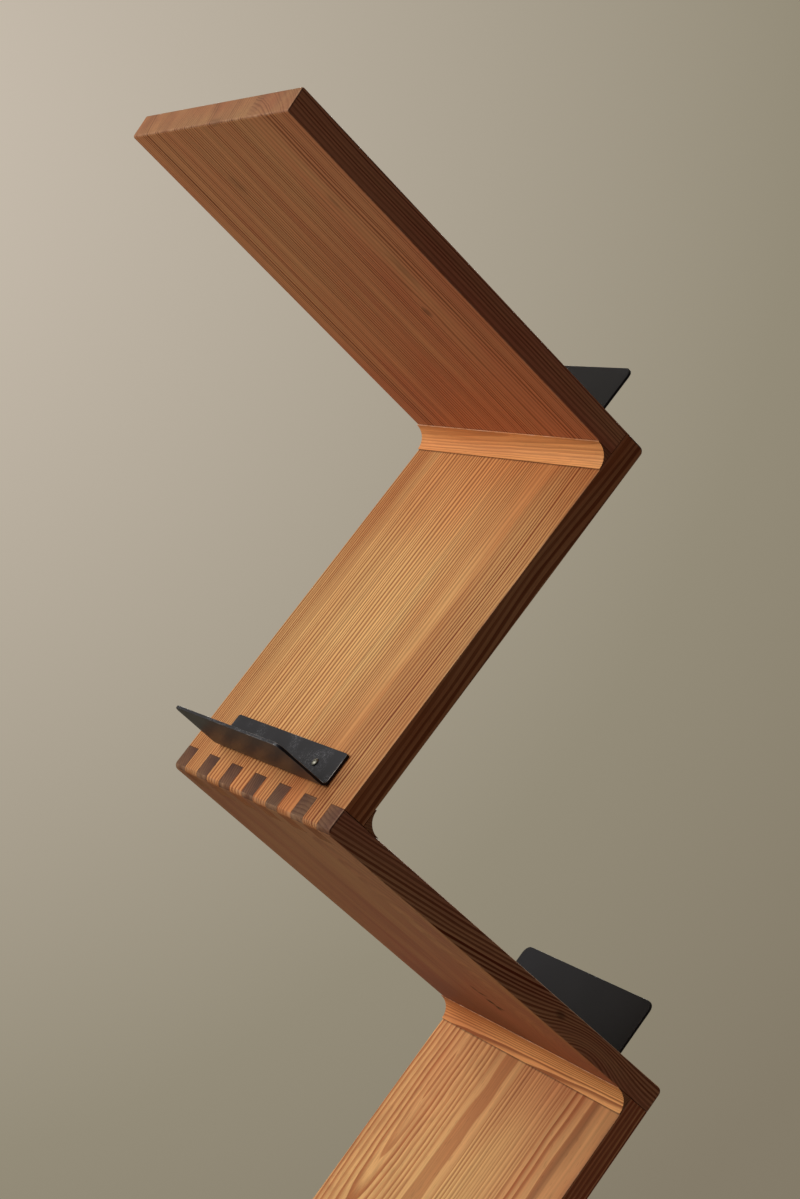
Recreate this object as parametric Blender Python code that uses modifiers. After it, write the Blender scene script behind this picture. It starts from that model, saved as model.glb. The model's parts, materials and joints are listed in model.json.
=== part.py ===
"""Zig-zag magazine shelf: finger-jointed pine boards, cove strips and bent steel rests.

Metres, +Z up. X runs across the shelf, the front faces -Y, and the origin is on the floor
under the middle of the base. Each board has its own frame, in which Y runs up the board,
Z leaves its upper face, and the origin is its lower outer corner.
"""
import math

import bmesh
import bpy
from mathutils import Matrix, Vector

# Boards
BOARD_COUNT = 5
BOARD_WIDTH = 0.300
BOARD_LENGTH = 0.400
TOP_BOARD_LENGTH = 0.4045
TOP_END_RAKE = 0.0025
BOARD_THICKNESS = 0.0225
FOLD_ANGLE = math.radians(90)
OUTER_RADIUS = 0.005
FREE_END_RADIUS = 0.002
ARRIS_RADIUS = 0.0015

# Finger joints: at the corners named here the upper board has the outermost fingers
FINGER_COUNT = 13
OUTER_FINGER = 0.0218
UPPER_BOARD_OUTERMOST = (3,)

# Cove strips in the inner corners
COVE_RADIUS = 0.0152
COVE_EDGE = 0.0004
COVE_LAND = 0.0002

# Base board
BASE_LENGTH = 0.400
BASE_THICKNESS = 0.0225

# Magazine rests, bent from sheet, and how far each one sits from its board's centre line
REST_WIDTH = 0.205
REST_FLANGE = 0.0325
REST_LIP = 0.056
REST_SHEET = 0.0025
REST_BEND = 0.003
REST_SETBACK = 0.032
LIP_CORNER_RADIUS = 0.008
FLANGE_CORNER_RADIUS = 0.0025
REST_SHIFTS = {1: -0.0105, 2: 0.0025, 3: -0.0145}

# Screws of the rests
REST_SCREW_SPACING = 0.134
REST_SCREW_LENGTH = 0.016
REST_SCREW_RADIUS = 0.00175
REST_HEAD_RADIUS = 0.0035
REST_HEAD_HEIGHT = 0.0018

# Screws of the base
BASE_SCREW_COUNT = 4
BASE_SCREW_SPACING = 0.075
BASE_SCREW_BITE = 0.014
BASE_SCREW_RADIUS = 0.00225
BASE_HEAD_RADIUS = 0.0045
BASE_HEAD_HEIGHT = 0.003
BASE_HEAD_RECESS = 0.001
BASE_SCREW_INSET = 0.012

# All screws: the pointed end, the slot in the head, and the turn of the slot from one screw to the next
SCREW_TIP = 0.004
SLOT_WIDTH = 0.0008
SLOT_DEPTH = 0.0009
SLOT_TURN = math.radians(40)

# Clearances: along glue lines and under seated pieces, and round a screw
GLUE_GAP = 0.0003
SCREW_GAP = 0.0003
CUT_MARGIN = 0.010
WELD = 0.00001

# Steps in a rounded corner, in a cove and round a screw
CORNER_STEPS = 5
COVE_STEPS = 10
SCREW_STEPS = 16
DOME_STEPS = 4

# Sizes that follow from those above
SLOPE = (math.pi - FOLD_ANGLE) / 2
DEPTH = BOARD_LENGTH * math.cos(SLOPE) + BOARD_THICKNESS * math.sin(SLOPE)
RISE = BOARD_LENGTH * math.sin(SLOPE) - BOARD_THICKNESS * math.cos(SLOPE)
INNER_FINGER = (BOARD_WIDTH - OUTER_FINGER * (FINGER_COUNT + 1) / 2) / ((FINGER_COUNT - 1) / 2)
LAP = BOARD_THICKNESS / math.sin(FOLD_ANGLE)
RAKE = BOARD_THICKNESS / math.tan(FOLD_ANGLE)
FOOT_RAKE = BOARD_THICKNESS / math.tan(SLOPE)
FOOT_HEIGHT = BASE_THICKNESS + GLUE_GAP
FLANGE_TOP = GLUE_GAP + REST_SHEET


def new_collection(name):
    """Add a collection to the scene."""
    collection = bpy.data.collections.new(name)
    bpy.context.scene.collection.children.link(collection)
    return collection


def new_material(name, colour, roughness, metallic=0.0):
    """Make a Principled material from a linear colour."""
    material = bpy.data.materials.new(name)
    material.use_nodes = True
    shader = material.node_tree.nodes["Principled BSDF"]
    shader.inputs["Base Color"].default_value = (*colour, 1)
    shader.inputs["Roughness"].default_value = roughness
    shader.inputs["Metallic"].default_value = metallic
    return material


def add_part(name, mesh, material, parent=None):
    """Add a finished piece to the shelf, in its parent's frame."""
    mesh.name = name
    mesh.materials.clear()
    mesh.materials.append(material)
    mesh.shade_smooth()
    mesh.set_sharp_from_angle(angle=math.radians(30))
    part = bpy.data.objects.new(name, mesh)
    part.parent = parent
    shelf.objects.link(part)
    return part


def add_cutter(name, mesh, parent=None):
    """Add a hidden solid that is cut out of other pieces."""
    cutter = bpy.data.objects.new(name, mesh)
    cutter.parent = parent
    cutter.hide_render = True
    cutter.display_type = "WIRE"
    cutters.objects.link(cutter)
    return cutter


def cut(part, cutter):
    """Cut a hidden solid out of a piece."""
    boolean = part.modifiers.new(cutter.name, "BOOLEAN")
    boolean.operation = "DIFFERENCE"
    boolean.solver = "EXACT"
    boolean.object = cutter


def rounded(corners, steps):
    """Turn (y, z, radius) corners into points, with an arc where the radius isn't 0."""
    points = []
    for index, (y, z, radius) in enumerate(corners):
        corner = Vector((y, z))
        if radius == 0:
            points.append(corner)
            continue
        back = (Vector(corners[index - 1][:2]) - corner).normalized()
        ahead = (Vector(corners[(index + 1) % len(corners)][:2]) - corner).normalized()
        half = back.angle(ahead) / 2
        centre = corner + (back + ahead).normalized() * radius / math.sin(half)
        first = corner + back * radius / math.tan(half) - centre
        last = corner + ahead * radius / math.tan(half) - centre
        start = math.atan2(first.y, first.x)
        turn = math.remainder(math.atan2(last.y, last.x) - start, math.tau)
        for step in range(steps + 1):
            angle = start + turn * step / steps
            points.append(centre + radius * Vector((math.cos(angle), math.sin(angle))))
    return points


def evaluated_mesh(source):
    """Make a welded mesh of an object as it is evaluated, and remove the object."""
    shelf.objects.link(source)
    bpy.context.view_layer.update()
    depsgraph = bpy.context.evaluated_depsgraph_get()
    mesh = bpy.data.meshes.new_from_object(source.evaluated_get(depsgraph))
    bpy.data.objects.remove(source)
    shape = bmesh.new()
    shape.from_mesh(mesh)
    bmesh.ops.remove_doubles(shape, verts=shape.verts, dist=WELD)
    bmesh.ops.recalc_face_normals(shape, faces=shape.faces)
    shape.to_mesh(mesh)
    shape.free()
    return mesh


def prism(corners, width, steps=CORNER_STEPS, arris=0.0):
    """Extrude a side outline across the shelf, its end edges rounded by the arris."""
    outline = bpy.data.curves.new("outline", "CURVE")
    outline.dimensions = "2D"
    outline.fill_mode = "BOTH"
    outline.extrude = width / 2 - arris
    outline.bevel_depth = arris
    outline.bevel_resolution = 1
    outline.offset = -arris
    points = rounded(corners, steps)
    spline = outline.splines.new("POLY")
    spline.points.add(len(points) - 1)
    for place, point in zip(spline.points, points):
        place.co = (point.x, point.y, 0, 1)
    spline.use_cyclic_u = True
    mesh = evaluated_mesh(bpy.data.objects.new("outline", outline))
    side_view = Matrix(((0, 0, 1), (1, 0, 0), (0, 1, 0)))
    mesh.transform(side_view.to_4x4())
    return mesh


def turned(profile):
    """Turn a profile of (radius, height) points, given from top to bottom."""
    outline = bpy.data.meshes.new("profile")
    edges = [(index, index + 1) for index in range(len(profile) - 1)]
    outline.from_pydata([(radius, 0, height) for radius, height in profile], edges, [])
    source = bpy.data.objects.new("profile", outline)
    screw = source.modifiers.new("turn", "SCREW")
    screw.steps = SCREW_STEPS
    screw.render_steps = SCREW_STEPS
    screw.use_merge_vertices = True
    screw.merge_threshold = WELD
    return evaluated_mesh(source)


def copies(mesh, places):
    """Join a copy of a mesh at each place into one mesh of separate solids."""
    group = bmesh.new()
    for place in places:
        moved = mesh.copy()
        moved.transform(Matrix.Translation(place))
        group.from_mesh(moved)
        bpy.data.meshes.remove(moved)
    joined = bpy.data.meshes.new("group")
    group.to_mesh(joined)
    group.free()
    return joined


def finger_edge(finger):
    """Where a finger starts across the board, counted from the left."""
    return (finger + 1) // 2 * OUTER_FINGER + finger // 2 * INNER_FINGER - BOARD_WIDTH / 2


def finger_slots(first_finger, start, end):
    """Boxes that cut every second finger from one end of a board, between two heights."""
    rake = Matrix.Identity(4)
    rake[1][2] = -1 / math.tan(FOLD_ANGLE)
    slots = bmesh.new()
    for finger in range(first_finger, FINGER_COUNT, 2):
        left = finger_edge(finger) - GLUE_GAP / 2
        right = finger_edge(finger + 1) + GLUE_GAP / 2
        if finger == 0:
            left -= CUT_MARGIN
        if finger == FINGER_COUNT - 1:
            right += CUT_MARGIN
        low = Vector((left, start, -BOARD_THICKNESS - CUT_MARGIN))
        high = Vector((right, end, CUT_MARGIN))
        size = Matrix.Diagonal(high - low).to_4x4()
        place = rake @ Matrix.Translation((low + high) / 2) @ size
        bmesh.ops.create_cube(slots, size=1, matrix=place)
    mesh = bpy.data.meshes.new("slots")
    slots.to_mesh(mesh)
    slots.free()
    return mesh


def add_board(number, frame):
    """A board with a comb of fingers at each end that meets another board."""
    top = number == 1
    bottom = number == BOARD_COUNT
    length = TOP_BOARD_LENGTH if top else BOARD_LENGTH
    corners = [
        (0, 0, 0 if bottom else OUTER_RADIUS),
        (FOOT_RAKE if bottom else RAKE, -BOARD_THICKNESS, 0),
        (length, -BOARD_THICKNESS, FREE_END_RADIUS if top else OUTER_RADIUS),
        (length + TOP_END_RAKE if top else length - RAKE, 0, FREE_END_RADIUS if top else 0),
    ]
    mesh = prism(corners, BOARD_WIDTH, arris=ARRIS_RADIUS)
    board = add_part(f"board_{number}", mesh, oregon_pine, frame)
    if not top:
        first = 0 if number - 1 in UPPER_BOARD_OUTERMOST else 1
        slots = finger_slots(first, length - LAP - RAKE - GLUE_GAP, length + CUT_MARGIN)
        cut(board, add_cutter(f"upper_slots_{number}", slots, frame))
    if not bottom:
        first = 1 if number in UPPER_BOARD_OUTERMOST else 0
        slots = finger_slots(first, -CUT_MARGIN, LAP + GLUE_GAP)
        cut(board, add_cutter(f"lower_slots_{number}", slots, frame))
    return board


def cove_mesh(angle):
    """A strip with two legs at an angle and a hollow face between them."""
    half = angle / 2
    leg = (COVE_RADIUS + COVE_EDGE) / math.tan(half) + COVE_LAND
    hollow = COVE_EDGE / math.tan(half)

    far_leg = leg * Vector((math.cos(angle), -math.sin(angle)))
    far_edge = far_leg + COVE_EDGE * Vector((math.sin(angle), math.cos(angle)))
    corners = [
        (0, 0, 0),
        (leg, 0, 0),
        (leg, -COVE_EDGE, 0),
        (hollow, -COVE_EDGE, COVE_RADIUS),
        (*far_edge, 0),
        (*far_leg, 0),
    ]
    return prism(corners, BOARD_WIDTH, steps=COVE_STEPS)


def add_cove(name, angle, inner_corner, frame):
    """A glued strip that fills the inner corner under a board."""
    strip = add_part(name, cove_mesh(angle), cove_pine, frame)
    gap = GLUE_GAP / math.sin(angle / 2)
    seat = Vector((0, math.cos(angle / 2), -math.sin(angle / 2))) * gap
    strip.location = Vector((0, inner_corner, -BOARD_THICKNESS)) + seat
    return strip


def add_rest(number, frame):
    """A sheet bent square: the flange lies on the board and the lip stands on it."""
    flange_end = REST_SETBACK + REST_FLANGE
    corners = [
        (REST_SETBACK, GLUE_GAP, REST_BEND + REST_SHEET),
        (flange_end, GLUE_GAP, 0),
        (flange_end, FLANGE_TOP, 0),
        (REST_SETBACK + REST_SHEET, FLANGE_TOP, REST_BEND),
        (REST_SETBACK + REST_SHEET, REST_LIP, 0),
        (REST_SETBACK, REST_LIP, 0),
    ]
    mesh = prism(corners, REST_WIDTH)
    shape = bmesh.new()
    shape.from_mesh(mesh)
    bmesh.ops.dissolve_limit(shape, angle_limit=math.radians(1), verts=shape.verts, edges=shape.edges)
    lip_corners = []
    flange_corners = []
    for edge in shape.edges:
        ends = [corner.co for corner in edge.verts]
        across = abs(ends[0].x - ends[1].x)
        if across > WELD:
            continue
        if all(abs(end.z - REST_LIP) < WELD for end in ends):
            lip_corners.append(edge)
        if all(abs(end.y - flange_end) < WELD for end in ends):
            flange_corners.append(edge)
    for edges, radius in ((lip_corners, LIP_CORNER_RADIUS), (flange_corners, FLANGE_CORNER_RADIUS)):
        bmesh.ops.bevel(shape, geom=edges, offset=radius, segments=CORNER_STEPS, profile=0.5, affect="EDGES")
    shape.to_mesh(mesh)
    shape.free()
    rest = add_part(f"magazine_rest_{number}", mesh, black_steel, frame)
    rest.location.x = REST_SHIFTS.get(number, 0)
    return rest


def add_slot(screw, place, head_end, radius):
    """Cut a slot across the end of a screw's head, turned to its place in the row of screws."""
    shape = bmesh.new()
    size = Matrix.Diagonal((2 * radius + CUT_MARGIN, SLOT_WIDTH, 2 * SLOT_DEPTH, 1))
    turn = Matrix.Rotation(SLOT_TURN * place, 4, "Z")
    bmesh.ops.create_cube(shape, size=1, matrix=Matrix.Translation((0, 0, head_end)) @ turn @ size)
    mesh = bpy.data.meshes.new("slot")
    shape.to_mesh(mesh)
    shape.free()
    cut(screw, add_cutter(f"{screw.name}_slot", mesh, screw))


def rest_screw_profile():
    """A raised round head on a plain shank with a pointed end."""
    head = []
    for step in range(DOME_STEPS):
        angle = math.pi / 2 * step / DOME_STEPS
        head.append((REST_HEAD_RADIUS * math.sin(angle), REST_HEAD_HEIGHT * math.cos(angle)))
    return head + [
        (REST_HEAD_RADIUS, 0),
        (REST_SCREW_RADIUS, 0),
        (REST_SCREW_RADIUS, SCREW_TIP - REST_SCREW_LENGTH),
        (0, -REST_SCREW_LENGTH),
    ]


def add_rest_screws(number, frame, board, rest):
    """Two screws that hold a rest's flange down, and the holes that they pass through."""
    side = Vector((REST_SCREW_SPACING / 2, 0, 0))
    seat = Vector((REST_SHIFTS.get(number, 0), REST_SETBACK + REST_FLANGE / 2, FLANGE_TOP + GLUE_GAP))
    places = {"left": seat - side, "right": seat + side}
    for index, (name, place) in enumerate(places.items()):
        screw = add_part(f"rest_screw_{number}_{name}", turned(rest_screw_profile()), zinc_steel, frame)
        screw.location = place
        add_slot(screw, 2 * number + index, REST_HEAD_HEIGHT, REST_HEAD_RADIUS)
    radius = REST_SCREW_RADIUS + SCREW_GAP
    bottom = -REST_SCREW_LENGTH - SCREW_GAP
    hole = turned([(0, CUT_MARGIN), (radius, CUT_MARGIN), (radius, bottom), (0, bottom)])
    holes = add_cutter(f"rest_holes_{number}", copies(hole, places.values()), frame)
    cut(board, holes)
    cut(rest, holes)


def add_base():
    """The board that lies on the floor under the zig-zag."""
    half = BASE_LENGTH / 2
    corners = [
        (-half, 0, FREE_END_RADIUS),
        (half, 0, FREE_END_RADIUS),
        (half, BASE_THICKNESS, OUTER_RADIUS),
        (-half, BASE_THICKNESS, OUTER_RADIUS),
    ]
    mesh = prism(corners, BOARD_WIDTH, arris=ARRIS_RADIUS)
    return add_part("base_board", mesh, oregon_pine)


def base_screw_profile(gap):
    """A countersunk head and a shank up to its tip, each larger by the gap."""
    tip = BASE_THICKNESS - BASE_HEAD_RECESS + BASE_SCREW_INSET * math.tan(SLOPE) + BASE_SCREW_BITE
    shoulder = BASE_HEAD_HEIGHT
    shank = BASE_SCREW_RADIUS + gap
    head = BASE_HEAD_RADIUS + gap
    mouth = [(head, 0), (head, -CUT_MARGIN), (0, -CUT_MARGIN)] if gap else [(head, 0), (0, 0)]
    return [(0, tip + gap), (shank, tip + gap - SCREW_TIP), (shank, shoulder)] + mouth


def add_base_screws(pieces):
    """Screws from under the base, through the wedge strip and into the lowest board."""
    back = 1 if BOARD_COUNT % 2 else -1
    inward = DEPTH / 2 - BOARD_THICKNESS / math.sin(SLOPE) - BASE_SCREW_INSET
    places = []
    for number in range(BASE_SCREW_COUNT):
        across = (number - (BASE_SCREW_COUNT - 1) / 2) * BASE_SCREW_SPACING
        places.append(Vector((across, back * inward, BASE_HEAD_RECESS)))
        screw = add_part(f"base_screw_{number + 1}", turned(base_screw_profile(0)), zinc_steel)
        screw.location = places[-1]
        add_slot(screw, number, 0, BASE_HEAD_RADIUS)
    holes = add_cutter("base_holes", copies(turned(base_screw_profile(SCREW_GAP)), places))
    for piece in pieces:
        cut(piece, holes)


for old in list(bpy.data.objects):
    bpy.data.objects.remove(old)
shelf = new_collection("magazine_shelf")
cutters = new_collection("cutters")
oregon_pine = new_material("oregon_pine", (0.38, 0.17, 0.07), 0.45)
cove_pine = new_material("cove_pine", (0.46, 0.19, 0.06), 0.45)
black_steel = new_material("black_steel", (0.022, 0.021, 0.021), 0.42, 0.3)
zinc_steel = new_material("zinc_steel", (0.55, 0.53, 0.49), 0.35, 1.0)

for number in range(1, BOARD_COUNT + 1):
    leans_back = number % 2 == 1
    frame = bpy.data.objects.new(f"board_frame_{number}", None)
    height = FOOT_HEIGHT + (BOARD_COUNT - number) * RISE
    frame.location = (0, DEPTH / 2 if leans_back else -DEPTH / 2, height)
    frame.rotation_euler = (SLOPE, 0, math.pi if leans_back else 0)
    shelf.objects.link(frame)
    board = add_board(number, frame)
    rest = add_rest(number, frame)
    add_rest_screws(number, frame, board, rest)
    if number < BOARD_COUNT:
        add_cove(f"cove_strip_{number}", FOLD_ANGLE, LAP + RAKE, frame)
    else:
        wedge = add_cove("base_wedge_strip", SLOPE, FOOT_RAKE, frame)
        base = add_base()
        add_base_screws((base, wedge, board))
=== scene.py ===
"""Zig-zag magazine shelf in oiled Oregon pine with bent black steel rests, in a plain studio."""
import json
import math

import bmesh
import bpy
from mathutils import Matrix, Vector


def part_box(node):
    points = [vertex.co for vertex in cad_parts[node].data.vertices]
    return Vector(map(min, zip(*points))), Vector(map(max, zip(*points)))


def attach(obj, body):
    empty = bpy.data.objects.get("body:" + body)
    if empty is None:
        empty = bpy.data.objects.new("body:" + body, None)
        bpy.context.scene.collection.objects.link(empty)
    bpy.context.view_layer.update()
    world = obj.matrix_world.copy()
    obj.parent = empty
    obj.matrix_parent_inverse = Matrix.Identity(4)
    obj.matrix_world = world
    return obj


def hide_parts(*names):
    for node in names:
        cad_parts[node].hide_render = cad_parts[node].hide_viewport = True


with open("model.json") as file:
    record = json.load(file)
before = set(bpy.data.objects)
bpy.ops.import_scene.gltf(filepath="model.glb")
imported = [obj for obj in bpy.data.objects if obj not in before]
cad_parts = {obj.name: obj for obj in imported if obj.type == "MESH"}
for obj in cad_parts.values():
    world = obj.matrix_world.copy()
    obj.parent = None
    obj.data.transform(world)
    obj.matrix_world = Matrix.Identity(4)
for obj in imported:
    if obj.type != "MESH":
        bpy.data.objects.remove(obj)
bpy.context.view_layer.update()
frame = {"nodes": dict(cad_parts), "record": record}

# The five slanted boards: planks of Oregon pine, each glued up edge to edge from a few staves,
# planed, finger-jointed at the ends and oiled. Their places come from the ledges of the rests,
# which the record names. A stave's rings turn about its own pith line.
MM = 0.001
ACROSS = Vector((1, 0, 0))

# How far the middle of a ledge is up its board, and off the board's upper face
LEDGE_UP = 34.5 * MM
LEDGE_OUT = 30 * MM

# Points this close are one point, faces within this angle are one face, and a sharper edge than
# this isn't smoothed
WELD = 0.01 * MM
FLAT_ANGLE = math.radians(0.5)
SHARP_ANGLE = math.radians(30)

# The staves from left to right: right-hand edge, pith across the board and pith above the upper
# face, in millimetres, climb of the pith along the board, width of a ring in millimetres, tone,
# and how strong the lines are on the broad faces. Above 1 the lines are wider too.
STAVES = {
    1: [
        (-104, -330, -60, 0.00, 4.3, 0.97, 2.00),
        (-8, 250, -95, 0.00, 4.0, 1.00, 2.10),
        (75, -300, -70, 0.00, 3.9, 0.99, 1.90),
        (150, 42, -155, 0.00, 2.7, 0.96, 1.70),
    ],
    # Board 2's outer staves are darker, partly their own tone and partly painted shade, as the light falls
    # most on the middle
    2: [
        (-106, -420, -60, 0.00, 3.5, 0.87, 1.50),
        (-46, -440, -40, 0.00, 5.0, 1.01, 1.50),
        (18, -380, -40, 0.00, 5.0, 1.08, 2.10),
        (88, 330, -60, 0.00, 4.1, 1.00, 1.90),
        (150, 10, -110, 0.00, 3.1, 0.87, 1.80),
    ],
    3: [
        (-70, -210, -60, 0.00, 3.4, 0.92, 0.25),
        (10, -300, -90, 0.00, 3.6, 0.94, 0.25),
        (80, 340, -110, 0.00, 3.2, 0.99, 0.25),
        (150, 90, -150, -0.12, 3.4, 1.03, 0.25),
    ],
    4: [
        (-42, -99, -43.6, 0.163, 8.1, 1.09, 0.72),
        (1, -21, -32.6, 0.002, 8.0, 1.03, 0.75),
        (76, -240, -60, 0.00, 4.8, 1.03, 0.88),
        (150, 135, -37, 0.002, 10, 1.03, 0.78),
    ],
    5: [
        (-88, 190, -70, 0.00, 3.2, 0.98, 0.65),
        (-12, -50, -70, 0.02, 4.4, 1.00, 0.72),
        (70, -200, -80, 0.00, 3.0, 0.96, 0.65),
        (150, 110, -65, 0.01, 4.8, 1.01, 0.72),
    ],
}

# How strong the lines are on the long edges, and the tone there, then the widest ring there in
# millimetres, and how strong the lines are on the end grain
BOARD_EDGES = (3.0, 1.20)
EDGE_RING = 3.6
END_LINES = 0.6

# Rings that the grain of each board wanders by, the part of the year in which late wood comes on,
# how uneven the years are, how strong the lines of the palest years are, and how often strong and
# pale years take turns, for each ring
YEARS = {
    1: (0.7, 0.42, 1.8, 0.30, 0.27),
    2: (0.5, 0.36, 1.8, 0.50, 0.09),
    3: (0.7, 0.30, 1.2, 0.60, 0.09),
    4: (0.3, 0.18, 1.2, 0.60, 0.09),
    5: (0.8, 0.30, 1.5, 0.50, 0.09),
}

# How ruddy the upper faces, the undersides and the edges are. The undersides are ruddier partly by
# the wood's own patina and partly as painted warm shade. Paler patches are painted light where the
# front lamp falls most, on the middle of an upper face and the free end of the top board, and
# ruddier patches are mostly painted shade in the corners by the coves and the rests, and partly the
# wood's own tone: centre and reach of such patches, across the board, up it and off its face, in
# millimetres, and how much paler they are.
RUDDY = (0.50, 0.85, 0.70)
LIT_AND_SHADED_PATCHES = {
    1: [((-40, 400, -22.5), (240, 250, 14), 0.22), ((130, 100, -22.5), (60, 250, 14), -0.20),
        ((40, 40, -22.5), (200, 100, 14), -0.30)],
    2: [((-20, 190, 0), (150, 120, 14), 0.50), ((110, 380, 0), (115, 75, 14), -0.45),
        ((85, 170, 0), (50, 170, 14), -0.25), ((0, 0, 0), (220, 70, 30), -0.40),
        ((-130, 330, 0), (32, 120, 14), -0.25)],
    3: [((-20, 190, 0), (150, 120, 14), 0.40), ((0, 30, -22.5), (170, 90, 14), -0.45),
        ((90, 310, -22.5), (170, 150, 14), 0.22)],
    4: [((-20, 190, 0), (150, 120, 14), 0.40), ((60, 390, 0), (150, 70, 14), -0.30)],
    5: [((-20, 190, 0), (150, 120, 14), 0.40), ((60, 390, 0), (150, 70, 14), -0.30)],
}

# Knots, resin pockets, dark marks, swells of the grain and a patch of painted shade on each
# board: centre and reach as above, then the rings that it lifts and how dark its heart is. The seam
# is the dark line along the lower edge of a cove strip, partly dirt in the joint and partly a painted
# shadow under the strip's edge.
SEAM_DIRT_AND_SHADOW = ((0, 361.5, 0), (900, 1.6, 1.2), 0.0, 0.55)
KNOTS_AND_SHADE = {
    1: [
        ((70, 189, -22.5), (6, 7, 30), 0.7, 0.45),
        ((97, 238, -22.5), (6, 26, 6), 0.2, 0.26),
        ((90, 312, -22.5), (4, 12, 5), 0.3, 0.28),
        ((-42, 340, -22.5), (8, 14, 5), 0.2, 0.24),
        ((18, 403, -20), (13, 3, 4), 0.0, 0.40),
        ((150, 340, -10), (80, 80, 60), -0.9, 0.0),
    ],
    2: [((150, 262, -10), (60, 90, 60), 2.4, 0.0), ((66, 300, 0), (26, 120, 40), 1.2, 0.0), SEAM_DIRT_AND_SHADOW],
    3: [
        ((150, 84, -26), (45, 42, 24), 11.0, 0.0),
        ((150, 128, -9), (5, 7, 4), 0.6, 0.5),
        ((30, 131, -22.5), (5, 6, 5), 0.4, 0.6),
        ((36, 126, -22.5), (9, 3, 5), 0.4, 0.8),
        ((35, 113, -22.5), (8, 5, 5), 0.5, 1.0),
        ((41, 107, -22.5), (10, 3, 5), 0.3, 1.0),
        ((36, 103, -22.5), (5, 4, 5), 0.3, 0.8),
        # A patch of painted shade, low on the underside in the corner by the cove
        ((-55, 38, -22.5), (125, 78, 14), 0.0, 0.34),
        SEAM_DIRT_AND_SHADOW,
    ],
    4: [((-99, 400, 0), (16, 60, 60), -3.6, 0.0), ((118, 320, 0), (8, 130, 8), 0.0, 0.30), SEAM_DIRT_AND_SHADOW],
    5: [((-30, 240, 0), (7, 12, 40), 1.0, 0.6), SEAM_DIRT_AND_SHADOW],
}

# Colours: golden early wood, ruddy early wood and late wood of each board, a rubbed arris, the
# tint of oil-soaked end grain, and the heart of a knot, which also paints the seam's shadow and the
# patch of shade
GOLDEN_WOOD = "#DFB170"
# Board 3's ruddy wood is less red and darker than the others: painted shade in the grey bounce light under
# it
RUDDY_WOOD = {1: "#CA7D50", 2: "#C57C45", 3: "#B06E4B", 4: "#C47A4E", 5: "#C47A4E"}
LATE_WOOD = {1: "#6E2A02", 2: "#7C3202", 3: "#6E2A02", 4: "#8C3204", 5: "#8C3204"}
RUBBED_WOOD = "#D2A67C"
SOAKED_TINT = "#615B76"
KNOT_HEART_AND_SHADE = "#2C160E"

# Patterns in the wood, in rings across and through a stave and in millimetres along it. Real
# fibres and resin ducts are finer: these are drawn about 1 mm across, so that they show.
WANDER_SIZE = (14, 500, 14)
RIPPLE_SIZE = (2.5, 60, 2.5)
RIPPLE_RINGS = 0.22
FIBRE_SIZE = (0.3, 150, 0.3)
DUCT_SIZE = (0.2, 9, 0.2)
CLOUD_SIZE = (12, 180, 12)
SOAKED_SIZE = 24 * MM
RUBBED_SIZE = 9 * MM
LINE_RELIEF = 0.12 * MM

# How often wide and narrow years take turns, for each ring, the parts of the year in which late
# wood is full and in which it stops, and the line of the weakest single year
WIDE_YEARS = 0.22
LATE_FULL = 0.86
LATE_STOPS = 0.92
WEAKEST_LINE = 0.65

# Limits by the inputs of a Map Range node, from 1 and 2 to 3 and 4. Nearly all of a noise lies
# between the first two, and nearly all of one without detail between the next two. The heart of a
# knot and a patch fade out over so many reaches from the centre.
NOISE = {1: 0.3, 2: 0.7}
PLAIN_NOISE = {1: 0.35, 2: 0.65}
HEART_FADE = {1: 0.2, 2: 1.2}
PATCH_FADE = {1: 0, 2: 1.3}

# In the same way, how far streaks and ducts change the tone, and clouds the ruddiness, how much
# # oil the end grain drinks, and how far an arris is rubbed, and on a cove strip's feather edge how
# # bright its painted highlight is
STREAKS = {**NOISE, 3: 0.85, 4: 1.13}
DUCTS = {1: 0.70, 2: 0.78, 3: 1.0, 4: 0.86}
CLOUDS = {**NOISE, 3: -0.22, 4: 0.22}
SOAKED = {**NOISE, 3: 0.78, 4: 1.0}
RUBBED = {1: 0.40, 2: 0.68, 3: 0.02, 4: 0.28}

# How rough the oil is, how much that changes from fibre to fibre, and how proud the lines stand
OIL_ROUGHNESS = 0.52
OIL_VARIES = 0.08
LINE_PROUD = 0.6


def linear(colour):
    """An sRGB hex colour as linear red, green and blue with full alpha."""
    parts = [int(colour[place:place + 2], 16) / 255 for place in (1, 3, 5)]
    return (*[p / 12.92 if p <= 0.04045 else ((p + 0.055) / 1.055) ** 2.4 for p in parts], 1)


def add_node(tree, kind, links=None, **settings):
    """Add a node with its settings, and set or link the inputs that are given."""
    node = tree.nodes.new("ShaderNode" + kind)
    for name, value in settings.items():
        setattr(node, name, value)
    for name, source in (links or {}).items():
        if isinstance(source, bpy.types.NodeSocket):
            tree.links.new(source, node.inputs[name])
        else:
            node.inputs[name].default_value = source
    return node


def new_material(name):
    """A new material, its node tree and its Principled shader."""
    material = bpy.data.materials.new(name)
    material.use_nodes = True
    return material, material.node_tree, material.node_tree.nodes["Principled BSDF"]


def add_nearness(tree, place, centre, turn, reach):
    """Nodes that give how far a place is from a centre, in reaches along turned axes."""
    near = add_node(tree, "Mapping", {"Vector": place, "Location": centre, "Rotation": turn,
                                      "Scale": reach}, vector_type="TEXTURE").outputs[0]
    return add_node(tree, "VectorMath", {0: near}, operation="LENGTH").outputs["Value"]


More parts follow.
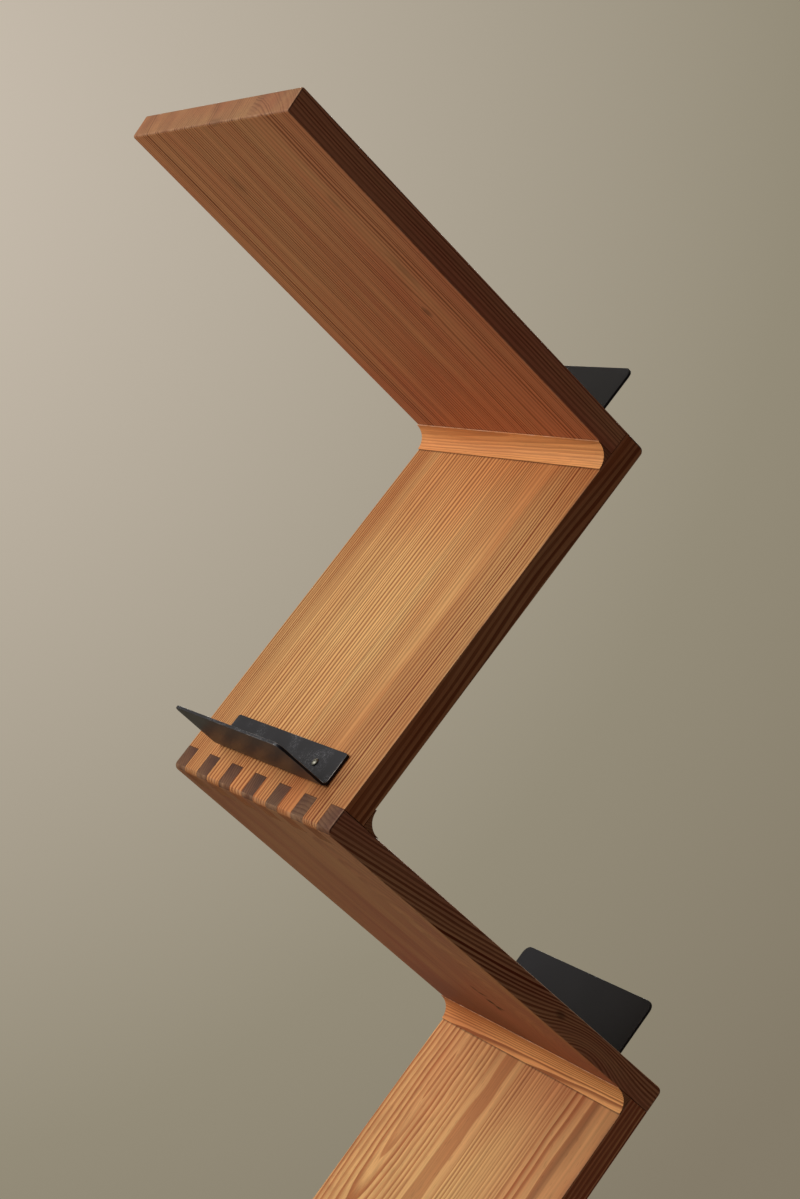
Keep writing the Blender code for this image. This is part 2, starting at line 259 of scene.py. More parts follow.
def oiled_pine(name, golden, ruddy, late, worn_and_highlight, years, knots_and_shade=(), light_shade_and_tone_patches=()):
    """Softwood cut from rings: golden early wood that darkens to a thin hard line of late wood.

    The grain attribute gives a point's place from the pith, in ring widths across and through
    the stave and in millimetres along it. The wood is more or less ruddy, in clouds along the
    grain. Oil leaves it satin, and darkens the open end grain.
    """
    wander, midsummer, unevenness, palest, turns = years
    material, tree, shader = new_material(name)
    grain = add_node(tree, "Attribute", attribute_name="grain").outputs["Vector"]

    # Slow wander of the rings, and a short ripple along the lines
    bent = grain
    for size, detail, rings in ((WANDER_SIZE, 2, wander), (RIPPLE_SIZE, 1, RIPPLE_RINGS)):
        drift = add_node(tree, "VectorMath", {0: grain, 1: size}, operation="DIVIDE")
        drift = add_node(tree, "TexNoise", {"Vector": drift.outputs[0], "Scale": 1, "Detail": detail})
        drift = add_node(tree, "VectorMath", {0: drift.outputs["Color"], 1: (0.5, 0.5, 0.5)},
                         operation="SUBTRACT")
        drift = add_node(tree, "VectorMath", {0: drift.outputs[0], 1: (2 * rings, 0, 2 * rings), 2: bent},
                         operation="MULTIPLY_ADD")
        bent = drift.outputs[0]

    # Each knot lifts the rings that pass it, and its heart is dark. The same dark paints the seam's
    #     # shadow and a patch of painted shade
    heart_and_shade = None
    place = add_node(tree, "TexCoord").outputs["Object"]
    for centre, turn, reach, lift, darkness in knots_and_shade:
        near = add_nearness(tree, place, centre, turn, reach)
        swell = add_node(tree, "Math", {0: near, 1: near, 2: 1}, operation="MULTIPLY_ADD")
        swell = add_node(tree, "Math", {0: -lift, 1: swell.outputs[0]}, operation="DIVIDE").outputs[0]
        swell = add_node(tree, "CombineXYZ", {"Z": swell})
        bent = add_node(tree, "VectorMath", {0: bent, 1: swell.outputs[0]}, operation="ADD").outputs[0]
        if darkness:
            dark = add_node(tree, "MapRange", {0: near, **HEART_FADE, 3: darkness, 4: 0},
                            interpolation_type="SMOOTHSTEP").outputs[0]
            heart_and_shade = add_node(tree, "Math", {0: heart_and_shade or 0, 1: dark}, operation="MAXIMUM").outputs[0]

    # Ring count outwards from the pith, with wide and narrow years
    ring = add_node(tree, "VectorMath", {0: bent, 1: (1, 0, 1)}, operation="MULTIPLY")
    ring = add_node(tree, "VectorMath", {0: ring.outputs[0]}, operation="LENGTH").outputs["Value"]
    width = add_node(tree, "TexNoise", {"W": ring, "Scale": WIDE_YEARS, "Detail": 1},
                     noise_dimensions="1D")
    ring = add_node(tree, "Math", {0: width.outputs["Fac"], 1: unevenness, 2: ring},
                    operation="MULTIPLY_ADD").outputs[0]
    year = add_node(tree, "Math", {0: ring}, operation="FLOOR").outputs[0]
    season = add_node(tree, "Math", {0: ring}, operation="FRACT").outputs[0]

    # Late wood: it comes on through the summer and stops short, more in some years than in others
    summer = add_node(tree, "MapRange", {0: season, 1: midsummer, 2: LATE_FULL},
                      interpolation_type="SMOOTHSTEP").outputs[0]
    winter = add_node(tree, "MapRange", {0: season, 1: LATE_STOPS, 2: 1, 3: 1, 4: 0},
                      interpolation_type="SMOOTHSTEP").outputs[0]
    single = add_node(tree, "TexWhiteNoise", {"W": year}, noise_dimensions="1D").outputs["Value"]
    single = add_node(tree, "MapRange", {0: single, 3: WEAKEST_LINE}).outputs[0]
    decade = add_node(tree, "TexNoise", {"W": ring, "Scale": turns, "Detail": 0}, noise_dimensions="1D")
    decade = add_node(tree, "MapRange", {0: decade.outputs["Fac"], **PLAIN_NOISE, 3: palest}).outputs[0]
    line = add_node(tree, "Attribute", attribute_name="figure").outputs["Fac"]
    for factor in (summer, winter, single, decade):
        line = add_node(tree, "Math", {0: line, 1: factor}, operation="MULTIPLY", use_clamp=True).outputs[0]

    # Long fibres and short resin ducts
    fibre = add_node(tree, "VectorMath", {0: bent, 1: FIBRE_SIZE}, operation="DIVIDE").outputs[0]
    fibre = add_node(tree, "TexNoise", {"Vector": fibre, "Scale": 1, "Detail": 3}).outputs["Fac"]
    duct = add_node(tree, "VectorMath", {0: bent, 1: DUCT_SIZE}, operation="DIVIDE").outputs[0]
    duct = add_node(tree, "TexNoise", {"Vector": duct, "Scale": 1, "Detail": 0}).outputs["Fac"]
    duct = add_node(tree, "MapRange", {0: duct, **DUCTS}).outputs[0]

    # Tone stave by stave, with streaks along the grain, clouds of ruddier wood, and paler and ruddier
    #     # patches, which on the boards are mostly painted light and shade
    tone = add_node(tree, "Attribute", attribute_name="tone").outputs["Fac"]
    cloud = add_node(tree, "VectorMath", {0: bent, 1: CLOUD_SIZE}, operation="DIVIDE").outputs[0]
    cloud = add_node(tree, "TexNoise", {"Vector": cloud, "Scale": 1, "Detail": 3}).outputs["Fac"]
    streak = add_node(tree, "MapRange", {0: fibre, **STREAKS}).outputs[0]
    for factor in (streak, duct):
        tone = add_node(tree, "Math", {0: tone, 1: factor}, operation="MULTIPLY").outputs[0]
    cloud = add_node(tree, "MapRange", {0: cloud, **CLOUDS}).outputs[0]
    for *where, paler in light_shade_and_tone_patches:
        near = add_nearness(tree, place, *where)
        pale = add_node(tree, "MapRange", {0: near, **PATCH_FADE, 3: paler, 4: 0},
                        interpolation_type="SMOOTHSTEP").outputs[0]
        cloud = add_node(tree, "Math", {0: cloud, 1: pale}, operation="SUBTRACT").outputs[0]
    age = add_node(tree, "Attribute", attribute_name="ruddy").outputs["Fac"]
    age = add_node(tree, "Math", {0: age, 1: cloud}, operation="ADD", use_clamp=True).outputs[0]
    colour = add_node(tree, "Mix", {0: age, 6: linear(golden), 7: linear(ruddy)},
                      data_type="RGBA").outputs[2]
    colour = add_node(tree, "Mix", {0: line, 6: colour, 7: linear(late)}, data_type="RGBA").outputs[2]
    colour = add_node(tree, "VectorMath", {0: colour, "Scale": tone}, operation="SCALE").outputs[0]

    # End grain drinks the oil, arrises are rubbed pale, a cove strip's feather edge gets a painted
    #     # highlight, and knots are nearly black
    end = add_node(tree, "Attribute", attribute_name="end_grain").outputs["Fac"]
    soaked = add_node(tree, "TexNoise", {"Vector": place, "Scale": 1 / SOAKED_SIZE}).outputs["Fac"]
    soaked = add_node(tree, "MapRange", {0: soaked, **SOAKED}).outputs[0]
    end = add_node(tree, "Math", {0: end, 1: soaked}, operation="MULTIPLY").outputs[0]
    colour = add_node(tree, "Mix", {0: end, 6: colour, 7: linear(SOAKED_TINT)},
                      data_type="RGBA", blend_type="MULTIPLY").outputs[2]
    rubbed_and_highlight = add_node(tree, "TexNoise", {"Vector": place, "Scale": 1 / RUBBED_SIZE, "Detail": 3})
    rubbed_and_highlight = rubbed_and_highlight.outputs["Fac"]
    rubbed_and_highlight = add_node(tree, "MapRange", {0: rubbed_and_highlight, **RUBBED}).outputs[0]
    arris = add_node(tree, "Attribute", attribute_name="arris").outputs["Fac"]
    rubbed_and_highlight = add_node(tree, "Math", {0: rubbed_and_highlight, 1: arris}, operation="MULTIPLY").outputs[0]
    colour = add_node(tree, "Mix", {0: rubbed_and_highlight, 6: colour, 7: linear(worn_and_highlight)}, data_type="RGBA").outputs[2]
    # The near-black of a knot also paints the seam's shadow and a patch of shade
    if heart_and_shade:
        colour = add_node(tree, "Mix", {0: heart_and_shade, 6: colour, 7: linear(KNOT_HEART_AND_SHADE)},
                          data_type="RGBA").outputs[2]
    tree.links.new(colour, shader.inputs["Base Color"])

    # Satin oil, drier on some fibres than on others, over lines of late wood that stand proud
    satin = add_node(tree, "Math", {0: fibre, 1: OIL_VARIES, 2: OIL_ROUGHNESS},
                     operation="MULTIPLY_ADD").outputs[0]
    tree.links.new(satin, shader.inputs["Roughness"])
    relief = add_node(tree, "Math", {0: line, 1: LINE_PROUD, 2: fibre}, operation="MULTIPLY_ADD").outputs[0]
    bump = add_node(tree, "Bump", {"Height": relief, "Strength": 0.35, "Distance": LINE_RELIEF})
    tree.links.new(bump.outputs[0], shader.inputs["Normal"])
    shader.inputs["IOR"].default_value = 1.5
    shader.inputs["Specular IOR Level"].default_value = 0.1
    return material


def merged_copy(node):
    """The mesh of a CAD node as a bmesh with its triangles joined into whole faces."""
    shape = bmesh.new()
    shape.from_mesh(frame["nodes"][node].data)
    bmesh.ops.remove_doubles(shape, verts=shape.verts, dist=WELD)
    bmesh.ops.dissolve_limit(shape, angle_limit=FLAT_ANGLE, verts=shape.verts, edges=shape.edges)
    return shape


def add_piece(name, shape, material, slot, *nodes):
    """Turn a bmesh into a shaded piece that rides on the shelf and stands for CAD nodes."""
    for face in shape.faces:
        face.smooth = True
    for edge in shape.edges:
        edge.smooth = edge.calc_face_angle(0) < SHARP_ANGLE
    mesh = bpy.data.meshes.new(name)
    shape.to_mesh(mesh)
    shape.free()
    mesh.materials.clear()
    mesh.materials.append(material)
    piece = bpy.data.objects.new(name, mesh)
    bpy.context.scene.collection.objects.link(piece)
    flat = piece.modifiers.new("flat_faces_stay_flat", "WEIGHTED_NORMAL")
    flat.keep_sharp = True
    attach(piece, "root")
    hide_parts(*nodes)


# How much a face looks along an axis to be an end, an edge or a broad face, where end grain comes
# in and over how much, and how little an arris looks along any axis and over how much
MOSTLY = 0.5
END_FROM = 0.2
END_OVER = 0.2
ARRIS_FROM = 0.99
ARRIS_OVER = 0.06


def write_grain(shape, origin, along, across, through, staves, ruddiness, edges, end_shade):
    """Cut a wooden shape at its stave joints and write its grain, tone, ends and arrises on it."""
    edge_lines, edge_tone = edges
    for edge, *_ in staves[:-1]:
        geometry = [*shape.verts, *shape.edges, *shape.faces]
        bmesh.ops.bisect_plane(shape, geom=geometry, dist=WELD, plane_co=origin + across * edge * MM,
                               plane_no=across)
    grain = shape.loops.layers.float_vector.new("grain")
    tone = shape.faces.layers.float.new("tone")
    ruddy = shape.faces.layers.float.new("ruddy")
    figure = shape.faces.layers.float.new("figure")
    end_grain = shape.faces.layers.float.new("end_grain")
    arris = shape.faces.layers.float.new("arris")
    shape.normal_update()
    for face in shape.faces:
        middle = (face.calc_center_median() - origin).dot(across) / MM
        stave = next((s for s in staves if middle < s[0]), staves[-1])
        _, pith_across, pith_out, climb, ring, face[tone], strength = stave
        facing = [abs(face.normal.dot(axis)) for axis in (along, across, through)]
        if facing[1] > MOSTLY:
            ring = min(ring, EDGE_RING)
            face[tone] *= edge_tone
        for corner in face.loops:
            point = (corner.vert.co - origin) / MM
            up = point.dot(along)
            out = point.dot(through) - pith_out - climb * up
            corner[grain] = ((point.dot(across) - pith_across) / ring, up, out / ring)
        height = (face.calc_center_median() - origin).dot(along)
        face[figure] = END_LINES if facing[0] > MOSTLY else edge_lines
        face[ruddy] = ruddiness[2]
        if facing[2] > MOSTLY:
            face[figure] = strength
            face[ruddy] = ruddiness[0] if face.normal.dot(through) > 0 else ruddiness[1]
        face[end_grain] = end_shade(height) * min(1, max(0, (facing[0] - END_FROM) / END_OVER))
        face[arris] = min(1, max(0, (ARRIS_FROM - max(facing)) / ARRIS_OVER))


def board_axes(number):
    """The directions up a board and off its upper face."""
    up = Vector(ledges[f"magazine_ledge_{number}"]["axis"]).normalized()
    return up, Vector((0, -up.y, up.z))


def placed(marks, corner, up, out):
    """The marks of a board with their centres, turns and reaches in the shelf's own frame."""
    slope = math.atan2(up.z, up.y)
    for centre, reach, *strengths in marks:
        place = corner + (ACROSS * centre[0] + up * centre[1] + out * centre[2]) * MM
        yield place, (slope, 0, 0), Vector(reach) * MM, *strengths


# How dark the end grain is, above the middle of each board and below it. Below the middle the end
# # grain shows on the undersides and is drawn only a little darker: painted light, since it takes
# # the oil as much as at the upper ends
MID_BOARD = 200 * MM
TOP_SHADE = {1: 0.62, 2: 0.92, 3: 0.92, 4: 0.92, 5: 0.92}
LOW_SHADE = 0.25
ledges = {mount["name"]: mount for mount in frame["record"]["mounts"]}
for number, staves in STAVES.items():
    up, out = board_axes(number)
    corner = Vector(ledges[f"magazine_ledge_{number}"]["pos_m"]) - up * LEDGE_UP - out * LEDGE_OUT
    corner.x = 0
    board = merged_copy(f"board_{number}")
    write_grain(board, corner, up, ACROSS, out, staves, RUDDY, BOARD_EDGES,
                lambda height: TOP_SHADE[number] if height > MID_BOARD else LOW_SHADE)
    # Knots and marks, with the painted shadow of the seams and a patch of painted shade
    knots_and_shade = placed(KNOTS_AND_SHADE[number], corner, up, out)
    # Patches of painted light and shade on the board
    light_shade_and_tone_patches = placed(LIT_AND_SHADED_PATCHES[number], corner, up, out)
    pine = oiled_pine(f"oregon_pine_board_{number}", GOLDEN_WOOD, RUDDY_WOOD[number], LATE_WOOD[number],
                      RUBBED_WOOD, YEARS[number], knots_and_shade, light_shade_and_tone_patches)
    add_piece(f"pine_board_{number}", board, pine, "oregon_pine", f"board_{number}")

# The base board: one more glued-up plank, which lies on the floor and carries the zig-zag.
# It is planed and oiled like the others, with its long edges eased and its grain front to back.
BACK = Vector((0, 1, 0))
PLUMB = Vector((0, 0, 1))
BASE_STAVES = [
    (-92, -160, -70, 0.00, 3.3, 0.98, 0.75),
    (-20, -60, -60, 0.01, 4.6, 1.00, 0.90),
    (64, 210, -80, 0.00, 3.1, 0.97, 0.75),
    (150, 100, -65, 0.01, 4.2, 1.00, 0.90),
]
BASE_YEARS = (0.8, 0.30, 1.5, 0.50, 0.09)
BASE_COLOURS = (GOLDEN_WOOD, "#C47A4E", "#6E2A02", RUBBED_WOOD)
BASE_SHADE = 0.6
base = merged_copy("base_board")
write_grain(base, Vector((0, 0, 0)), BACK, ACROSS, PLUMB, BASE_STAVES, RUDDY, BOARD_EDGES,
            lambda height: BASE_SHADE)
base_pine = oiled_pine("oregon_pine_base", *BASE_COLOURS, BASE_YEARS)
add_piece("pine_base_board", base, base_pine, "oregon_pine", "base_board")

# The cove strips: hollow mouldings glued into the inner corners, and a wedge with the same hollow
# under the lowest board. They are cut from redder, finer heartwood, with the grain along the strip.

# Pith behind the strip and above it, and width of a ring, in millimetres, then tone and how strong
# the lines are
COVES = {
    "cove_strip_1": (46, 46, 2.2, 1.15, 0.50),
    "cove_strip_2": (-30, -58, 2.0, 1.11, 0.70),
    "cove_strip_3": (30, -58, 1.9, 1.14, 1.20),
    "cove_strip_4": (-46, 46, 2.2, 1.11, 0.60),
    "base_wedge_strip": (30, -58, 2.0, 1.11, 0.70),
}
COVE_CLIMB = 0.02
COVE_YEARS = (0.9, 0.18, 1.2, 0.60, 0.09)
COVE_COLOURS = ("#EAA865", "#C97F48", "#7A3312", "#EFC39C")
COVE_RUDDY = (0.75, 0.75, 0.75)
COVE_SHADE = 0.6

# The upper feather edge carries a painted highlight, a pale line in the last of the cove colours,
# # and the right-hand ends are paler
FEATHER_EDGE = 0.8 * MM
FEATHER_HIGHLIGHT = 3.2
PALE_ENDS = [(Vector((130, 0, 700)) * MM, (0, 0, 0), Vector((210, 5000, 5000)) * MM, 0.50)]
cove_pine = oiled_pine("oregon_pine_heartwood", *COVE_COLOURS, COVE_YEARS, light_shade_and_tone_patches=PALE_ENDS)
for node, (behind, above, ring, tone, strength) in COVES.items():
    low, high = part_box(node)
    middle = (low + high) / 2
    strip = merged_copy(node)
    feather = high.z - FEATHER_EDGE
    bmesh.ops.bisect_plane(strip, geom=[*strip.verts, *strip.edges, *strip.faces], dist=WELD,
                           plane_co=PLUMB * feather, plane_no=PLUMB)
    one_piece = [(high.y / MM, behind, above, COVE_CLIMB, ring, tone, strength)]
    write_grain(strip, middle, ACROSS, BACK, PLUMB, one_piece, COVE_RUDDY, (strength, 1),
                lambda height: COVE_SHADE)
    arris = strip.faces.layers.float["arris"]
    for face in strip.faces:
        # Painted highlight along the upper feather edge
        face[arris] = FEATHER_HIGHLIGHT if face.calc_center_median().z > feather else 0
    add_piece(f"pine_{node}", strip, cove_pine, "cove_pine", node)

# The magazine rests: steel sheet bent square, deburred and lacquered satin black. The lacquer is
# worn through to bright steel along the edges, and scuffed on the flange, where magazines slide.
REST_EDGE = 0.35 * MM
SQUARE_EDGE = math.radians(60)
FLANGE_LOOKS = 0.9
SCREW_CLEAR = 4 * MM
LACQUER = ("#1C1C22", "#242429")
SCUFF = "#A3A4A8"
BRIGHT_STEEL = "#A9A49C"

# Patterns in the lacquer and how rough it is. Real scratches are finer: these are drawn about 1 mm
# wide, so that they show.
PEEL_SIZE = 1.2 * MM
PEEL_RELIEF = 0.03 * MM
HANDLED_SIZE = 35 * MM
BARE_SIZE = 30 * MM
SCRATCH_SIZE = (1.1 * MM, 9 * MM, 1.4 * MM)
SCRATCH_TURNS = (0.5, 1.9, 2.7)
SCRATCH_TILT = 0.3
SCRATCH_STRENGTH = 0.36
SCUFFED = {1: 0.46, 2: 0.60}
SCRATCHED = {1: 0.62, 2: 0.72}
BARE = {1: 0.56, 2: 0.68, 3: 0.02, 4: 0.6}
LACQUER_ROUGHNESS = 0.34
LACQUER_VARIES = 0.08
lacquer, tree, shader = new_material("black_lacquered_steel")
place = add_node(tree, "TexCoord").outputs["Object"]
orange_peel = add_node(tree, "TexNoise", {"Vector": place, "Scale": 1 / PEEL_SIZE, "Detail": 2})
handling = add_node(tree, "TexNoise", {"Vector": place, "Scale": 1 / HANDLED_SIZE, "Detail": 3})
handling = handling.outputs["Fac"]
scuffed = add_node(tree, "MapRange", {0: handling, **SCUFFED},
                   interpolation_type="SMOOTHSTEP").outputs[0]
flange = add_node(tree, "Attribute", attribute_name="flange").outputs["Fac"]
scuffed = add_node(tree, "Math", {0: scuffed, 1: flange}, operation="MULTIPLY").outputs[0]
marks = None
for turn in SCRATCH_TURNS:
    hair = add_node(tree, "Mapping", {"Vector": place, "Rotation": (SCRATCH_TILT, turn, turn),
                                      "Scale": [1 / size for size in SCRATCH_SIZE]})
    hair = add_node(tree, "TexNoise", {"Vector": hair.outputs[0], "Scale": 1, "Detail": 1}).outputs["Fac"]
    hair = add_node(tree, "MapRange", {0: hair, **SCRATCHED}).outputs[0]
    marks = add_node(tree, "Math", {0: marks or 0, 1: hair}, operation="MAXIMUM").outputs[0]
marks = add_node(tree, "Math", {0: marks, 1: scuffed}, operation="MULTIPLY").outputs[0]
marks = add_node(tree, "Math", {0: marks, 1: SCRATCH_STRENGTH}, operation="MULTIPLY").outputs[0]
colour = add_node(tree, "Mix", {0: handling, 6: linear(LACQUER[0]), 7: linear(LACQUER[1])},
                  data_type="RGBA").outputs[2]
colour = add_node(tree, "Mix", {0: marks, 6: colour, 7: linear(SCUFF)}, data_type="RGBA").outputs[2]
bare = add_node(tree, "TexNoise", {"Vector": place, "Scale": 1 / BARE_SIZE, "Detail": 3}).outputs["Fac"]
bare = add_node(tree, "MapRange", {0: bare, **BARE}).outputs[0]
edge = add_node(tree, "Attribute", attribute_name="edge").outputs["Fac"]
bare = add_node(tree, "Math", {0: bare, 1: edge}, operation="MULTIPLY").outputs[0]
colour = add_node(tree, "Mix", {0: bare, 6: colour, 7: linear(BRIGHT_STEEL)},
                  data_type="RGBA").outputs[2]
tree.links.new(colour, shader.inputs["Base Color"])
tree.links.new(bare, shader.inputs["Metallic"])
satin = add_node(tree, "Math", {0: handling, 1: LACQUER_VARIES, 2: LACQUER_ROUGHNESS},
                 operation="MULTIPLY_ADD").outputs[0]
tree.links.new(satin, shader.inputs["Roughness"])
shader.inputs["Specular IOR Level"].default_value = 0.2
bump = add_node(tree, "Bump", {"Height": orange_peel.outputs["Fac"], "Strength": 0.2,
                               "Distance": PEEL_RELIEF})
tree.links.new(bump.outputs[0], shader.inputs["Normal"])
for number in STAVES:
    rest = merged_copy(f"magazine_rest_{number}")
    worn_edge = rest.faces.layers.float.new("edge")
    flange = rest.faces.layers.float.new("flange")
    _, out = board_axes(number)
    for face in rest.faces:
        face[flange] = 1 if face.normal.dot(out) > FLANGE_LOOKS else 0

    # Round the edges of the sheet, but not of its screw holes
    screws = []
    for side in ("left", "right"):
        low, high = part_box(f"rest_screw_{number}_{side}")
        screws.append((low.x + high.x) / 2)
    edges = []
    for edge in rest.edges:
        middle = (edge.verts[0].co + edge.verts[1].co) / 2
        at_screw = min(abs(middle.x - x) for x in screws) < SCREW_CLEAR
        if at_screw and edge.calc_length() < SCREW_CLEAR:
            continue
        if edge.calc_face_angle(0) > SQUARE_EDGE:
            edges.append(edge)
    rounded = bmesh.ops.bevel(rest, geom=edges, offset=REST_EDGE, segments=2, profile=0.5,
                              affect="EDGES", material=-1)
    for face in rounded["faces"]:
        face[worn_edge] = 1
    bmesh.ops.triangulate(rest, faces=[face for face in rest.faces if len(face.verts) > 4])
    add_piece(f"steel_rest_{number}", rest, lacquer, "black_steel", f"magazine_rest_{number}")

# The screws: slotted round heads on the rests, and countersunk ones under the base. They are
# turned steel, zinc plated, with the slot milled across and the plating dulled by handling.
HEAD_RADIUS = 3.5 * MM
HEAD_HEIGHT = 1.8 * MM
HEAD_RIM = 0.25 * MM
DOME_STEPS = 8
SHANK_RADIUS = 1.75 * MM
POINT = 4 * MM
SLOT_WIDTH = 0.8 * MM
SLOT_DEPTH = 0.9 * MM
SLOT_TURN = math.radians(40)
TURNED_STEPS = 40
BRIGHT_ZINC = "#8F8D80"
DULL_ZINC = "#6B675B"
DULL_SIZE = 2.5 * MM
ZINC_ROUGHNESS = 0.32
ZINC_VARIES = 0.3
zinc, tree, shader = new_material("zinc_plated_steel")
place = add_node(tree, "TexCoord").outputs["Object"]
dull = add_node(tree, "TexNoise", {"Vector": place, "Scale": 1 / DULL_SIZE, "Detail": 3}).outputs["Fac"]
colour = add_node(tree, "Mix", {0: dull, 6: linear(BRIGHT_ZINC), 7: linear(DULL_ZINC)},
                  data_type="RGBA").outputs[2]
tree.links.new(colour, shader.inputs["Base Color"])
satin = add_node(tree, "Math", {0: dull, 1: ZINC_VARIES, 2: ZINC_ROUGHNESS},
                 operation="MULTIPLY_ADD").outputs[0]
tree.links.new(satin, shader.inputs["Roughness"])
shader.inputs["Metallic"].default_value = 1
for number in STAVES:
    up, out = board_axes(number)
    for index, side in enumerate(("left", "right")):
        node = f"rest_screw_{number}_{side}"
        points = [vertex.co for vertex in frame["nodes"][node].data.vertices]
        spans = [sorted(point.dot(axis) for point in points) for axis in (ACROSS, up, out)]
        seat = ACROSS * (spans[0][0] + spans[0][-1]) / 2 + up * (spans[1][0] + spans[1][-1]) / 2
        top = spans[2][-1]
        length = top - spans[2][0] - HEAD_HEIGHT

        # Turn the profile: a domed head with a thin rim, and a pointed shank
        profile = [(0, HEAD_HEIGHT)]
        for step in range(1, DOME_STEPS):
            angle = math.pi / 2 * step / DOME_STEPS
            dome = HEAD_RIM + (HEAD_HEIGHT - HEAD_RIM) * math.cos(angle)
            profile.append((HEAD_RADIUS * math.sin(angle), dome))
        profile += [(HEAD_RADIUS, HEAD_RIM), (HEAD_RADIUS, 0), (SHANK_RADIUS, 0),
                    (SHANK_RADIUS, POINT - length), (0, -length)]
        screw = bmesh.new()
        line = [screw.verts.new((radius, 0, height)) for radius, height in profile]
        edges = [screw.edges.new(pair) for pair in zip(line, line[1:])]
        bmesh.ops.spin(screw, geom=line + edges, cent=(0, 0, 0), axis=(0, 0, 1), angle=math.tau,
                       steps=TURNED_STEPS, use_merge=True)
        bmesh.ops.remove_doubles(screw, verts=screw.verts, dist=WELD)
        bmesh.ops.recalc_face_normals(screw, faces=screw.faces)

        # Mill the slot: cut its strip out of the dome, and close its two walls and its floor
        slot_floor = HEAD_HEIGHT - SLOT_DEPTH
        walls = [Vector((0, half * SLOT_WIDTH / 2, 0)) for half in (-1, 1)]
        cuts = [(wall, (0, 1, 0)) for wall in walls]
        cuts.append((Vector((0, 0, slot_floor)), (0, 0, 1)))
        for point, normal in cuts:
            bmesh.ops.bisect_plane(screw, geom=[*screw.verts, *screw.edges, *screw.faces], dist=WELD,
                                   plane_co=point, plane_no=normal)
        milled = []
        for face in screw.faces:
            middle = face.calc_center_median()
            if abs(middle.y) < SLOT_WIDTH / 2 and middle.z > slot_floor:
                milled.append(face)
        bmesh.ops.delete(screw, geom=milled, context="FACES")
        rim = [edge for edge in screw.edges if edge.is_boundary]
        for wall in walls:
            arc = [edge for edge in rim if all(abs(v.co.y - wall.y) < WELD for v in edge.verts)]
            ends = sorted({v for edge in arc for v in edge.verts}, key=lambda v: v.co.x)
            floor_edge = screw.edges.new((ends[0], ends[-1]))
            bmesh.ops.contextual_create(screw, geom=arc + [floor_edge])
        bmesh.ops.contextual_create(screw, geom=[edge for edge in screw.edges if edge.is_boundary])
        bmesh.ops.recalc_face_normals(screw, faces=screw.faces)

        # Drive it into its seat, with the slot at an angle of its own
        upright = Matrix((ACROSS, up, out)).transposed().to_4x4()
        if upright.determinant() < 0:
            upright = Matrix((-ACROSS, up, out)).transposed().to_4x4()
        stand = Matrix.Translation(seat + out * (top - HEAD_HEIGHT)) @ upright
        turn = Matrix.Rotation(SLOT_TURN * (2 * number + index), 4, "Z")
        bmesh.ops.transform(screw, matrix=stand @ turn, verts=screw.verts)
        add_piece(f"zinc_{node}", screw, zinc, "zinc_steel", node)

# The screws under the base are the CAD solids themselves, in the same zinc
for number in (1, 2, 3, 4):
    head = frame["nodes"][f"base_screw_{number}"]
    head.data.materials.clear()
    head.data.materials.append(zinc)

# The floor: a plain pale studio floor in matt paint round the shelf, which fades into the backdrop.
# It lies half a millimetre low, clear of the underside of the base.
FLOOR_RADIUS = 1.0
FLOOR_FADE = 0.55
FLOOR_SIDES = 96
FLOOR_LOW = 0.5 * MM
FLOOR_PAINT = "#A79F8E"
paint, tree, shader = new_material("pale_floor_paint")
shader.inputs["Base Color"].default_value = linear(FLOOR_PAINT)
shader.inputs["Roughness"].default_value = 0.8
place = add_node(tree, "TexCoord").outputs["Object"]
reach = add_node(tree, "VectorMath", {0: place}, operation="LENGTH").outputs["Value"]
fade = add_node(tree, "MapRange", {0: reach, 1: FLOOR_FADE, 2: FLOOR_RADIUS, 3: 1, 4: 0},
                interpolation_type="SMOOTHSTEP").outputs[0]
tree.links.new(fade, shader.inputs["Alpha"])
disc = bmesh.new()
bmesh.ops.create_circle(disc, cap_ends=True, segments=FLOOR_SIDES, radius=FLOOR_RADIUS)
floor_mesh = bpy.data.meshes.new("floor")
disc.to_mesh(floor_mesh)
disc.free()
floor_mesh.materials.append(paint)
floor = bpy.data.objects.new("floor", floor_mesh)
floor.location.z = -FLOOR_LOW
bpy.context.scene.collection.objects.link(floor)

# The camera stands 1.26 m above the floor to the right of the front and looks a little down, as in
# the photograph: its place, its three turns and its focal length in pixels of the 800 x 1199 frame.
IMAGE_HEIGHT = 1199
FOCAL_PIXELS = 2350.4
SENSOR = 36
EYE = Vector((1.7141, -0.9034, 1.2565))
YAW = math.radians(62.17)
PITCH = math.radians(-8.416)
ROLL = math.radians(-2.515)
lens = bpy.data.cameras.new("camera")
lens.sensor_width = SENSOR
lens.lens = SENSOR * FOCAL_PIXELS / IMAGE_HEIGHT
camera = bpy.data.objects.new("camera", lens)
camera.matrix_world = (Matrix.Translation(EYE) @ Matrix.Rotation(YAW, 4, "Z")
                       @ Matrix.Rotation(math.pi / 2 + PITCH, 4, "X") @ Matrix.Rotation(ROLL, 4, "Z"))
bpy.context.scene.collection.objects.link(camera)
bpy.context.scene.camera = camera

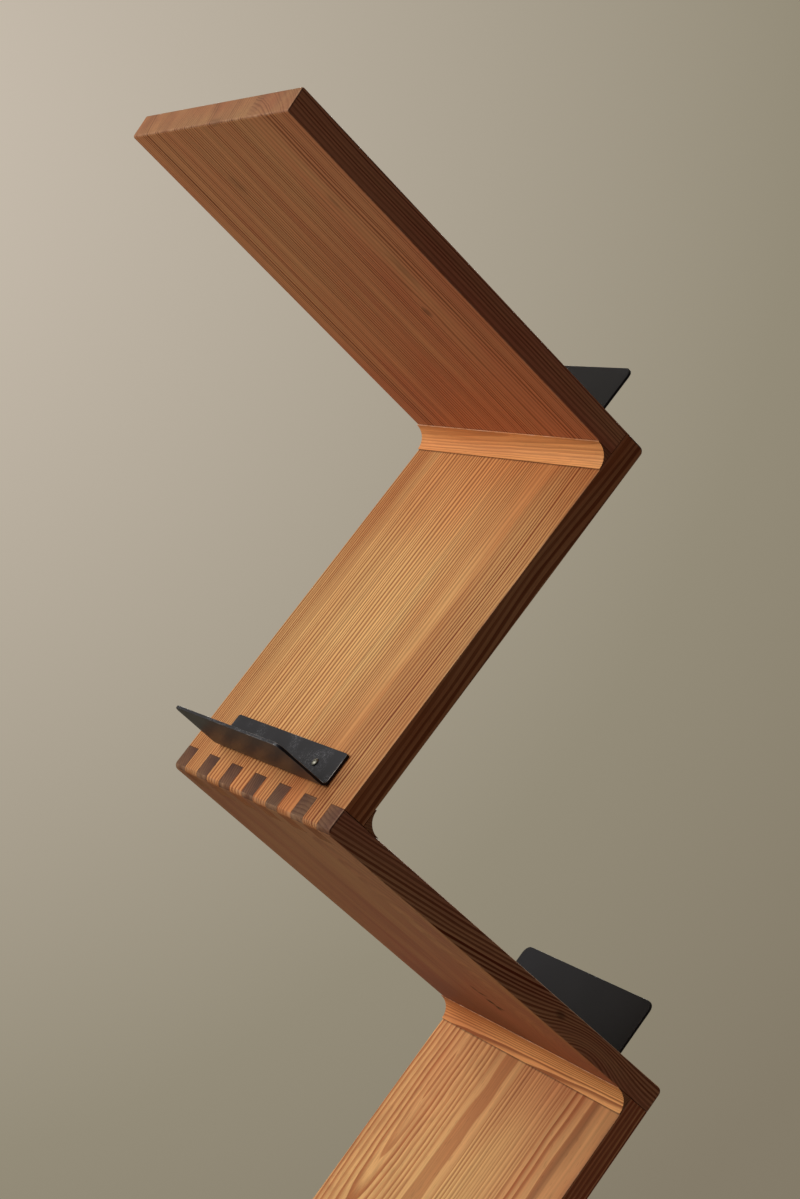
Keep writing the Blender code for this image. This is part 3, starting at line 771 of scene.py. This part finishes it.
# The backdrop: a warm grey wall that falls off from a pool of light at the upper left. It shows
# to the camera and in reflections, while a dim even light stands in for the rest of the studio.
# The pool's place is in the camera's view, and the wall has its colours by degrees away from it.
POOL = (-0.30, 0.22)
WALL = [(6, "#C6BBAC"), (26, "#948C79"), (35, "#847B69"), (60, "#766E5D"), (130, "#787060")]
WALL_SHINE = 0.78
STUDIO_TINT = "#FFE9FF"
STUDIO_FILL = 0.080
world = bpy.data.worlds.new("studio")
bpy.context.scene.world = world
world.use_nodes = True
tree = world.node_tree
tree.nodes.clear()
turned = camera.matrix_world.to_3x3()
pool = (turned @ Vector((*POOL, -1))).normalized()
direction = add_node(tree, "TexCoord").outputs["Generated"]
angle = add_node(tree, "VectorMath", {0: direction, 1: pool}, operation="DOT_PRODUCT").outputs["Value"]
angle = add_node(tree, "Math", {0: angle}, operation="ARCCOSINE").outputs[0]
wall = linear(WALL[0][1])
for (near, _), (far, shade) in zip(WALL, WALL[1:]):
    falloff = add_node(tree, "MapRange", {0: angle, 1: math.radians(near), 2: math.radians(far)}).outputs[0]
    wall = add_node(tree, "Mix", {0: falloff, 6: wall, 7: linear(shade)}, data_type="RGBA").outputs[2]
ray = add_node(tree, "LightPath")
shine = add_node(tree, "MapRange", {0: ray.outputs["Is Glossy Ray"], 3: 1, 4: WALL_SHINE}).outputs[0]
wall = add_node(tree, "Background", {"Color": wall, "Strength": shine})
dim = add_node(tree, "Background", {"Color": linear(STUDIO_TINT), "Strength": STUDIO_FILL})
seen = add_node(tree, "Math", {0: ray.outputs["Is Camera Ray"], 1: ray.outputs["Is Glossy Ray"]},
                operation="ADD")
seen = add_node(tree, "Math", {0: seen.outputs[0], 1: ray.outputs["Is Transmission Ray"]},
                operation="ADD", use_clamp=True)
light = add_node(tree, "MixShader", {0: seen.outputs[0], 1: dim.outputs[0], 2: wall.outputs[0]})
add_node(tree, "OutputWorld", {"Surface": light.outputs[0]})

# The lights: a large softbox at the front left, above the shelf, and a smaller and lower one at
# the back left, which lights the back alone. Places and sizes are in metres, and power in watts.
AIM = Vector((0, 0, 0.85))
LIGHTS = {
    "front_softbox": ((-1.2, -2.05, 2.45), 2.2, 88),
    "back_softbox": ((-2.4, 1.6, 1.5), 1.5, 52),
}
for name, (stand, size, power) in LIGHTS.items():
    lamp = bpy.data.lights.new(name, "AREA")
    lamp.size = size
    lamp.energy = power
    softbox = bpy.data.objects.new(name, lamp)
    softbox.location = stand
    softbox.rotation_mode = "QUATERNION"
    softbox.rotation_quaternion = (AIM - softbox.location).to_track_quat("-Z", "Y")
    bpy.context.scene.collection.objects.link(softbox)

bpy.context.scene.view_settings.view_transform = "Standard"
